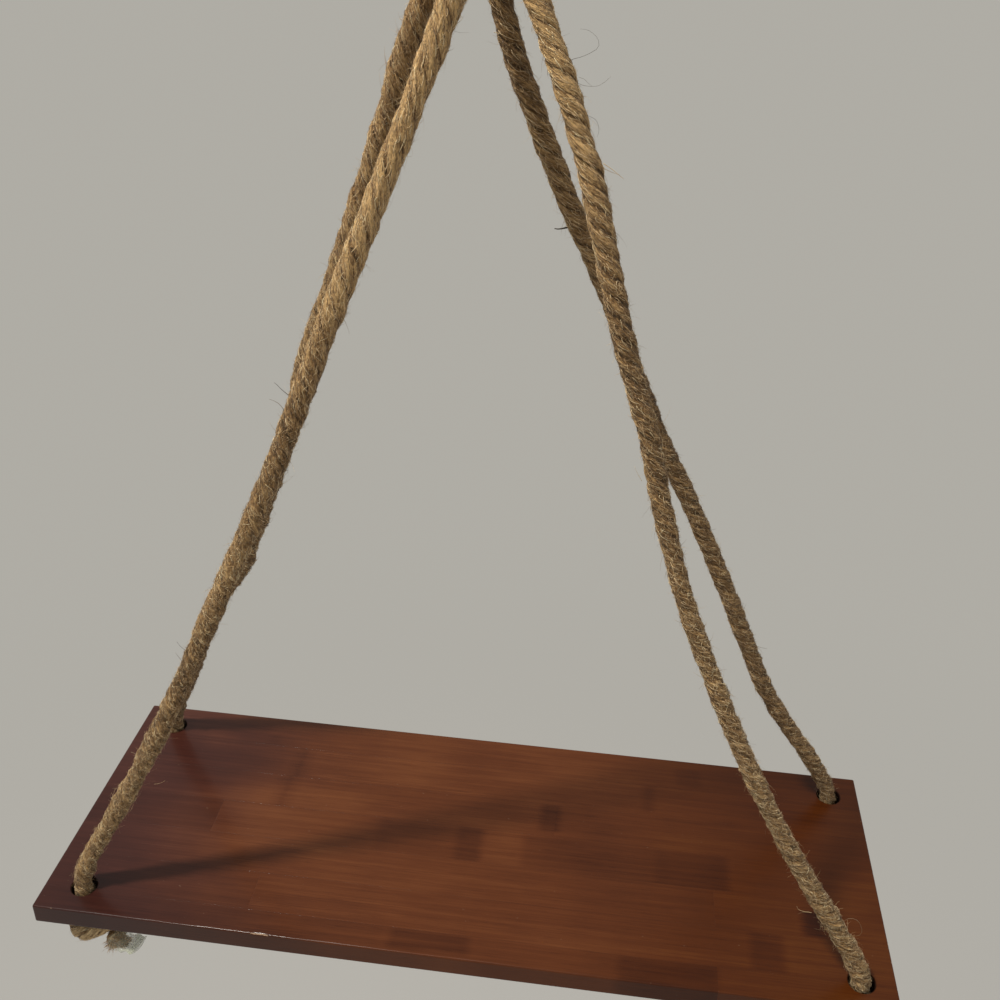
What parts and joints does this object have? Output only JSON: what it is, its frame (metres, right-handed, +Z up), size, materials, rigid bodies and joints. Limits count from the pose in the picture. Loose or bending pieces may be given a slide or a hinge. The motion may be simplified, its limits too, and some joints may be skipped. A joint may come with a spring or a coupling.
{
  "type": "hanging rope shelf",
  "caption": "Stained bamboo board hung at its corners by jute ropes that gather into a ring on a screw-in ceiling hook; it swings from the ring and the hook.",
  "frame": {"origin": "on the ceiling hook's axis, in the plane of the ceiling that its collar meets", "axes": "+X along the board to the right, +Y to the back, +Z up along the hook's screw"},
  "size_m": [0.4, 0.157, 0.617],
  "materials": {
    "stained_bamboo": "cherry-brown stain under satin lacquer, worn pale along the edges",
    "jute_rope": "natural jute, three strands laid up, hairy",
    "jute_twine": "natural jute twine, wound tight",
    "clear_tape": "clear glossy tape, wrinkled",
    "zinc_plated_steel": "bright zinc plating"
  },
  "bodies": {
    "hook": {"ceiling_hook": "zinc_plated_steel"},
    "ring": {"hanging_ring": "zinc_plated_steel"},
    "shelf": {"stave_1": "stained_bamboo", "stave_2": "stained_bamboo", "stave_3_left": "stained_bamboo", "stave_3_right": "stained_bamboo", "stave_4_left": "stained_bamboo", "stave_4_right": "stained_bamboo", "stave_5_left": "stained_bamboo", "stave_5_right": "stained_bamboo", "stave_6_left": "stained_bamboo", "stave_6_right": "stained_bamboo", "stave_7_left": "stained_bamboo", "stave_7_right": "stained_bamboo", "front_rope": "jute_rope", "back_rope": "jute_rope", "front_left_knot": "jute_rope", "front_right_knot": "jute_rope", "back_left_knot": "jute_rope", "back_right_knot": "jute_rope", "front_left_tape": "clear_tape", "front_right_tape": "clear_tape", "back_left_tape": "clear_tape", "back_right_tape": "clear_tape", "rope_binding": "jute_twine"}
  },
  "joints": [
    {"name": "ring_swing", "type": "hinge", "parent": "hook", "child": "ring", "pos_m": [0, 0, -0.03745], "axis": [1, 0, 0], "range_deg": [-30, 30]},
    {"name": "shelf_swing", "type": "hinge", "parent": "ring", "child": "shelf", "pos_m": [0, 0, -0.0688], "axis": [0, 1, 0], "range_deg": [-35, 35]}
  ]
}
